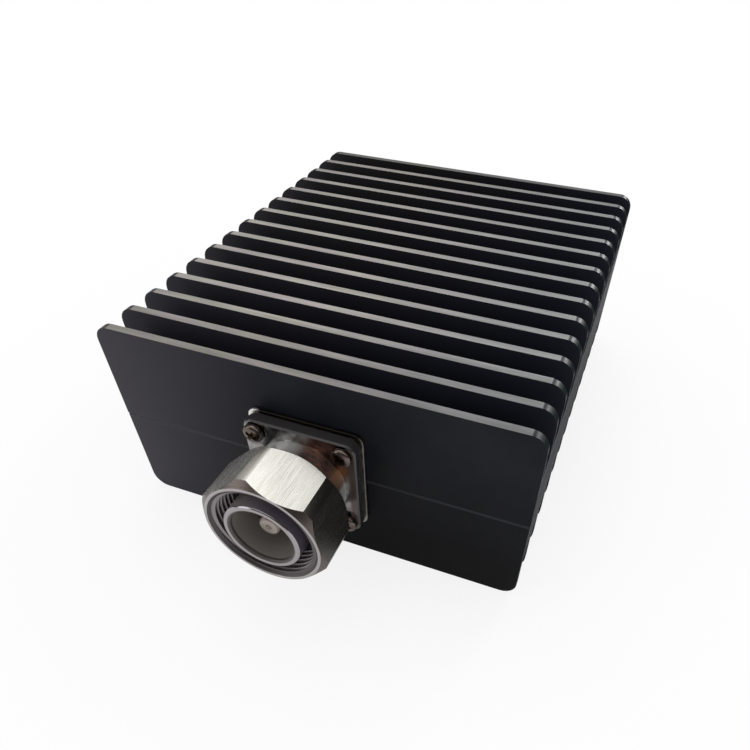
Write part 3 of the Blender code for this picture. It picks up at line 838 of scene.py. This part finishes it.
def flangePlate(tree, look, x, front, z, mottle, neck):
    coords = axisCoords(tree)
    plate = mixColours(tree, spread(tree, noise(tree, coords, **look["plateCloud"]),
                                    *look["plateRange"]), look["plateDull"], look["plate"])
    # a painted glint on the plate above the nut
    near = farFrom(tree, x, z, look["brightPlace"], look["brightSqueeze"])
    plate = mixColours(tree, spread(tree, near, *look["brightReach"]), plate, look["bright"])
    plate = mixColours(tree, neck, plate, neckReflectionColour(tree, look, x, z, mottle))
    # a painted brown reflection round the upper right screw, orange at its edge
    away = farFrom(tree, x, z, look["reflectionPlace"])
    reflectionShare = times(tree, spread(tree, away, *look["reflectionReach"]),
                  spread(tree, front, *look["reflectionFront"]),
                  spread(tree, noise(tree, coords, **look["reflectionCloud"]), *look["reflectionRange"]))
    paintedBrownReflection = mixColours(tree, mottle, look["paintedBrownReflection"],
                      [part * look["reflectionDark"] for part in look["paintedBrownReflection"]])
    orangeReflection = times(tree, spread(tree, x, *look["orangeReflectionAcross"]),
                   window(tree, z, *look["orangeReflectionHeights"]))
    paintedBrownReflection = mixColours(tree, orangeReflection, paintedBrownReflection, look["orangeReflection"])
    return mixColours(tree, reflectionShare, plate, paintedBrownReflection)


def neckReflectionColour(tree, look, x, z, mottle):
    # painted reflection: a light glint on the neck's left, dark brown and copper to its right
    # with an orange band, and light again low down
    neckReflection = mixColours(tree, mottle, look["neckDarkReflection"], look["neckCopperReflection"])
    neckReflection = mixColours(tree, window(tree, z, *look["neckOrangeReflectionHeights"]), neckReflection,
                        look["neckOrangeReflection"])
    neckReflection = mixColours(tree, spread(tree, z, *look["neckBelow"]), neckReflection, look["neck"])
    return mixColours(tree, spread(tree, x, *look["neckAcross"]), look["neck"], neckReflection)


def flangeBorder(tree, look, x, z):
    # the plate's edges, all the way round its rounded corners
    squares = []
    for side in (x, z):
        over = maths(tree, "SUBTRACT", maths(tree, "ABSOLUTE", side), look["flangeCorner"])
        over = maths(tree, "MAXIMUM", over, 0.0)
        squares.append(times(tree, over, over))
    outer = maths(tree, "SQRT", maths(tree, "ADD", *squares))
    return spread(tree, outer, *look["flangeBorder"])


def bodyMaterial(look):
    material, tree, shader = newMaterial("polishedPlate")
    x, front, z, radius = splitAxis(tree)
    mottle = spread(tree, noise(tree, axisCoords(tree), **look["mottleCloud"]),
                    *look["mottleRange"])
    rings = turnedRings(tree, front, radius, look["ringScale"])
    neck = window(tree, front, *look["neckFront"])
    margin = spread(tree, x, *look["marginAcross"])
    barrel = window(tree, front, *look["barrelFront"])
    border = flangeBorder(tree, look, x, z)
    ending = times(tree, spread(tree, front, *look["contactFront"]),
                   spread(tree, radius, *look["contactRadius"]))
    bore = times(tree, spread(tree, radius, *look["boreRadius"]),
                 spread(tree, front, *look["boreFront"]))
    # painted shade: the barrel inside the nut is darker towards the right
    shell = mixColours(tree, spread(tree, x, *look["barrelAcross"]), look["barrel"],
                       look["barrelShadeRight"])
    # painted shade: the lip at the bore's mouth is darker than the bore
    inside = mixColours(tree, spread(tree, front, *look["lipShadeFront"]), look["bore"],
                        look["lip"])
    colour = flangePlate(tree, look, x, front, z, mottle, neck)
    # the flange's dark edges are a painted shade
    for share, over in ((margin, look["brownMargin"]), (barrel, shell),
                        (border, look["flangeEdgeShade"]), (ending, look["contactEnd"]),
                        (bore, inside)):
        colour = mixColours(tree, share, colour, over)
    feed(tree, shader.inputs["Base Color"], colour)
    dullAndShaded = maths(tree, "MAXIMUM", bore, barrel)
    matt = dullAndShaded
    for share in (border, margin, neck):
        matt = maths(tree, "MAXIMUM", matt, share)
    feed(tree, shader.inputs["Metallic"], mixNumbers(tree, matt, 1.0, look["dullMetal"]))
    feed(tree, shader.inputs["Roughness"],
         mixNumbers(tree, dullAndShaded, uneven(tree, rings, *look["roughness"]), look["boreRoughness"]))
    bump(tree, shader, rings, *look["bump"])
    return material


def makeBody(look):
    bm = meshOfNode("connector_body")
    lip = [edge for edge in bm.edges
           if all(math.hypot(vert.co.x, vert.co.z - seamZ) < look["lipRadius"]
                  and frontY - vert.co.y > look["lipFront"] for vert in edge.verts)]
    bevelEdges(bm, lip, *look["lipBevel"])
    softenEdges(bm, look["edge"])
    piece = finishMesh(bm, "connectorBody", [bodyMaterial(look)], recalculate=False)
    place(piece, "housing", "connector_body")
    print("connector body finished")


makeBody(bodyLook)


# Thin shim behind the flange, with painted shade along its top and a painted highlight on one
# corner

shimLook = {
    "edge": 0.00010,
    "tin": (0.44, 0.40, 0.35),
    "tinDark": 0.7,
    "tinCloud": {"scale": 420, "detail": 4},
    "tinRange": (0.35, 0.65),
    "paintedTopShade": (0.050, 0.046, 0.038),
    "topShadeHeights": (0.0156, 0.0162),
    "topShadeWaver": 0.0004,
    "paintedCornerHighlight": (0.80, 0.78, 0.74),
    "cornerHighlightPlace": (-0.0152, 0.0155),
    "cornerHighlightReach": (0.0026, 0.0016),
    "roughness": (0.28, 0.44),
}


def shimMaterial(look):
    material, tree, shader = newMaterial("tinnedShim")
    x, _, z, _ = splitAxis(tree)
    cloud = noise(tree, axisCoords(tree), **look["tinCloud"])
    colour = mixColours(tree, spread(tree, cloud, *look["tinRange"]),
                        [part * look["tinDark"] for part in look["tin"]], look["tin"])
    # painted shade along the top, with a wavering lower edge
    high = maths(tree, "ADD", z, times(tree, uneven(tree, cloud), look["topShadeWaver"]))
    colour = mixColours(tree, spread(tree, high, *look["topShadeHeights"]), colour,
                        look["paintedTopShade"])
    # a painted highlight on the upper left corner
    away = farFrom(tree, x, z, look["cornerHighlightPlace"])
    colour = mixColours(tree, spread(tree, away, *look["cornerHighlightReach"]), colour, look["paintedCornerHighlight"])
    feed(tree, shader.inputs["Base Color"], colour)
    shader.inputs["Metallic"].default_value = 1.0
    feed(tree, shader.inputs["Roughness"], uneven(tree, cloud, *look["roughness"]))
    return material


def makeShim(look):
    bm = meshOfNode("flange_shim")
    softenEdges(bm, look["edge"])
    piece = finishMesh(bm, "flangeShim", [shimMaterial(look)], recalculate=False)
    place(piece, "housing", "flange_shim")
    print("shim finished")


makeShim(shimLook)


# Inner conductor with its rounded nose and centre mark

pinLook = {
    "colour": (0.42, 0.39, 0.355),
    "dark": (0.21, 0.17, 0.14),
    "darkRange": (0.35, 0.75),
    "ringScale": 5200,
    "roughness": (0.24, 0.40),
    "bump": (0.08, 0.00003),
    "markShadeRadius": (0.0011, 0.0008),
    "markShadeFront": (0.0225, 0.0229),
    "noseFade": 0.0006,
    "steps": 72,
    "smoothAngle": 32,
    "front": 0.0236,
    "radius": 0.0035,
    "noseRadius": 0.0022,
    "noseLength": 0.0015,
    "noseSteps": 8,
    "markRadius": 0.0008,
    "markDepth": 0.0005,
    # radius and distance in front of the housing, behind the nose
    "stem": [(0.0035, 0.0110), (0.0022, 0.0110), (0.0022, 0.0003), (0.0015, 0.0003),
             (0.0015, -0.0147), (0.0012, -0.0150), (0, -0.0150)],
}


def pinMaterial(look):
    material, tree, shader = newMaterial("silverPin")
    _, front, _, radius = splitAxis(tree)
    rings = turnedRings(tree, front, radius, look["ringScale"])
    # painted shade: darker in the centre mark and all round the nose's rounded edge
    mark = times(tree, spread(tree, radius, *look["markShadeRadius"]),
                 spread(tree, front, *look["markShadeFront"]))
    away = maths(tree, "MAXIMUM", mark, spread(tree, radius, look["noseRadius"],
                                               look["noseRadius"] + look["noseFade"]))
    colour = mixColours(tree, spread(tree, rings, *look["darkRange"]), look["colour"],
                        look["dark"])
    feed(tree, shader.inputs["Base Color"], mixColours(tree, away, colour, look["dark"]))
    shader.inputs["Metallic"].default_value = 1.0
    feed(tree, shader.inputs["Roughness"], uneven(tree, rings, *look["roughness"]))
    bump(tree, shader, rings, *look["bump"])
    return material


def makePin(look):
    outline = [(0, look["front"] - look["markDepth"]), (look["markRadius"], look["front"])]
    wide = look["radius"] - look["noseRadius"]
    for angle in quarterTurn(look["noseSteps"]):
        outline.append((look["noseRadius"] + wide * math.sin(angle),
                        look["front"] - look["noseLength"] * (1 - math.cos(angle))))
    bm = turnProfile(outline + look["stem"], look["steps"])
    toAxis(bm)
    piece = finishMesh(bm, "innerConductor", [pinMaterial(look)], look["smoothAngle"])
    place(piece, "housing", "center_pin")
    print("inner conductor finished")


makePin(pinLook)


# Screws in the flange: domed heads with a cross recess

screwLook = {
    "colour": (0.135, 0.11, 0.10),
    "headCloud": {"scale": 900},
    "headRange": (0.45, 0.85),
    "roughness": (0.18, 0.34),
    "recess": (0.13, 0.080, 0.058),
    "recessDark": 0.5,
    "recessCloud": {"scale": 1400},
    "recessRange": (0.0, 1.0),
    "recessRoughness": (0.35, 0.55),
    "steps": 48,
    "smoothAngle": 40,
    "headRadius": 0.0028,
    "headHeight": 0.0019,
    "headSkirt": 0.0008,  # the straight part under the dome
    "headChamfer": 0.0001,
    "domeSteps": 10,
    "shankRadius": 0.0015,
    "shankChamfer": 0.0004,
    "length": 0.0110,
    "underHead": 0.0053,
    "spacing": 0.0250,
    "turnStep": 35,  # degrees from one screw's recess to the next one's
    "crossLength": 0.0036,
    "crossWidth": 0.0011,
    "crossDepth": 0.0013,
    "crossAbove": 0.0004,
    "crossTaper": 0.62,
}


def steelMaterial(name, cloud, limits, colours, roughness):
    material, tree, shader = newMaterial(name)
    pattern = noise(tree, objectCoords(tree), **cloud)
    feed(tree, shader.inputs["Base Color"],
         mixColours(tree, spread(tree, pattern, *limits), *colours))
    shader.inputs["Metallic"].default_value = 1.0
    feed(tree, shader.inputs["Roughness"], uneven(tree, pattern, *roughness))
    return material


def screwMaterials(look):
    deep = [part * look["recessDark"] for part in look["recess"]]
    return [
        steelMaterial("screwSteel", look["headCloud"], look["headRange"],
                      (look["colour"], look["recess"]), look["roughness"]),
        steelMaterial("recessBrown", look["recessCloud"], look["recessRange"],
                      (look["recess"], deep), look["recessRoughness"]),
    ]


def crossCutter(look):
    # two crossed bars that narrow towards the bottom of the recess
    bm = bmesh.new()
    top = look["headHeight"] + look["crossAbove"]
    bottom = look["headHeight"] - look["crossDepth"]
    middle = (top + bottom) / 2
    long, narrow, taper = look["crossLength"], look["crossWidth"], look["crossTaper"]
    for wide, tall in ((long, narrow), (narrow, long)):
        made = bmesh.ops.create_cube(bm, size=1)["verts"]
        bmesh.ops.scale(bm, verts=made, vec=(wide, top - bottom, tall))
        bmesh.ops.translate(bm, verts=made, vec=(0, -middle, 0))
        deep = [vert for vert in made if -vert.co.y < middle]
        bmesh.ops.scale(bm, verts=deep, vec=(taper, 1, taper))
    return bm


def screwProfile(look):
    head, skirt, shank = look["headRadius"], look["headSkirt"], look["shankRadius"]
    outline = [(0, look["headHeight"])]
    for angle in quarterTurn(look["domeSteps"])[1:]:
        outline.append((head * math.sin(angle),
                        skirt + (look["headHeight"] - skirt) * math.cos(angle)))
    return outline + [
        (head, look["headChamfer"]), (head - look["headChamfer"], 0), (shank, 0),
        (shank, -look["length"] + look["shankChamfer"]),
        (shank - look["shankChamfer"], -look["length"]), (0, -look["length"])]


def meshFrom(bm, name):
    bmesh.ops.recalc_face_normals(bm, faces=bm.faces)
    mesh = bpy.data.meshes.new(name)
    bm.to_mesh(mesh)
    bm.free()
    return mesh


def cutBy(mesh, cutterMesh, materials):
    # the cutter's material comes along onto the faces that it makes
    body = bpy.data.objects.new("cutBody", mesh)
    tool = bpy.data.objects.new("cutTool", cutterMesh)
    for one in (body, tool):
        bpy.context.scene.collection.objects.link(one)
    for one in materials:
        mesh.materials.append(one)
        cutterMesh.materials.append(one)
    for face in cutterMesh.polygons:
        face.material_index = len(materials) - 1
    modifier = body.modifiers.new("cut", "BOOLEAN")
    modifier.operation = "DIFFERENCE"
    modifier.solver = "EXACT"
    modifier.use_self = True
    modifier.object = tool
    bpy.context.view_layer.update()
    graph = bpy.context.evaluated_depsgraph_get()
    result = bpy.data.meshes.new_from_object(body.evaluated_get(graph))
    for one in (body, tool):
        bpy.data.objects.remove(one)
    return result


def makeFlangeScrews(look):
    materials = screwMaterials(look)
    blank = meshFrom(turnProfile(screwProfile(look), look["steps"]), "screwHead")
    screw = cutBy(blank, meshFrom(crossCutter(look), "crossCutter"), materials)
    side = look["spacing"] / 2
    corners = ((-side, side), (side, side), (side, -side), (-side, -side))
    for number, (x, z) in enumerate(corners, start=1):
        turn = Matrix.Rotation(math.radians(look["turnStep"] * number), 3, "Y")
        bm = bmesh.new()
        bm.from_mesh(screw)
        bmesh.ops.rotate(bm, verts=bm.verts, cent=(0, 0, 0), matrix=turn)
        bmesh.ops.translate(bm, verts=bm.verts,
                            vec=axisPoint + Vector((x, -look["underHead"], z)))
        piece = finishMesh(bm, f"flangeScrew{number}", materials, look["smoothAngle"],
                           weighted=False, recalculate=False)
        place(piece, "housing", f"flange_screw_{number}")
    print("flange screws finished")


makeFlangeScrews(screwLook)


# Pieces that keep their CAD shape get a worked finish

plainSetup = {
    "grainRoughness": 0.6,
    "grainRange": (0.35, 0.65),
    "bump": (0.10, 0.00003),
}
plainLooks = {
    "retaining_ring": {"colour": (0.40, 0.40, 0.40), "dark": (0.24, 0.23, 0.22), "metal": 1.0,
                       "rough": (0.28, 0.42), "grain": (2600, 300, 2600)},
    "sealing_ring": {"colour": (0.022, 0.020, 0.020), "dark": (0.012, 0.011, 0.011),
                     "metal": 0.0, "rough": (0.62, 0.82), "grain": (1800, 1800, 1800)},
    "pin_insulator": {"colour": (0.84, 0.84, 0.80), "dark": (0.74, 0.73, 0.68), "metal": 0.0,
                      "rough": (0.38, 0.52), "grain": (300, 2400, 300)},
    "resistor_flange": {"colour": (0.62, 0.56, 0.48), "dark": (0.48, 0.40, 0.32), "metal": 1.0,
                        "rough": (0.24, 0.38), "grain": (120, 2600, 900)},
    "resistor_substrate": {"colour": (0.56, 0.55, 0.51), "dark": (0.47, 0.46, 0.42),
                           "metal": 0.0, "rough": (0.48, 0.62), "grain": (1500, 1500, 1500)},
    "resistor_tab": {"colour": (0.74, 0.71, 0.64), "dark": (0.60, 0.56, 0.48), "metal": 1.0,
                     "rough": (0.20, 0.34), "grain": (1800, 120, 900)},
    "resistor_cover": {"colour": (0.86, 0.85, 0.80), "dark": (0.78, 0.77, 0.71), "metal": 0.0,
                       "rough": (0.42, 0.58), "grain": (1100, 1100, 1100)},
    "resistor_screw": {"colour": (0.52, 0.48, 0.44), "dark": (0.36, 0.32, 0.28), "metal": 1.0,
                       "rough": (0.22, 0.36), "grain": (900, 900, 2600), "copies": 2},
    "housing_screw": {"colour": (0.030, 0.030, 0.032), "dark": (0.016, 0.016, 0.017),
                      "metal": 0.6, "rough": (0.34, 0.48), "grain": (1600, 1600, 1600),
                      "copies": 4},
}


def plainMaterial(name, look, setup):
    material, tree, shader = newMaterial(name)
    grain = noise(tree, objectCoords(tree), look["grain"], roughness=setup["grainRoughness"])
    feed(tree, shader.inputs["Base Color"],
         mixColours(tree, spread(tree, grain, *setup["grainRange"]), look["dark"],
                    look["colour"]))
    shader.inputs["Metallic"].default_value = look["metal"]
    feed(tree, shader.inputs["Roughness"], uneven(tree, grain, *look["rough"]))
    bump(tree, shader, grain, *setup["bump"])
    return material


def dressNodes(looks, setup):
    for name, look in looks.items():
        material = plainMaterial(name + "Finish", look, setup)
        copies = [f"{name}_{number + 1}" for number in range(look.get("copies", 0))]
        for node in copies or [name]:
            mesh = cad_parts[node].data
            mesh.materials.clear()
            mesh.materials.append(material)
    print("kept CAD nodes dressed")


dressNodes(plainLooks, plainSetup)
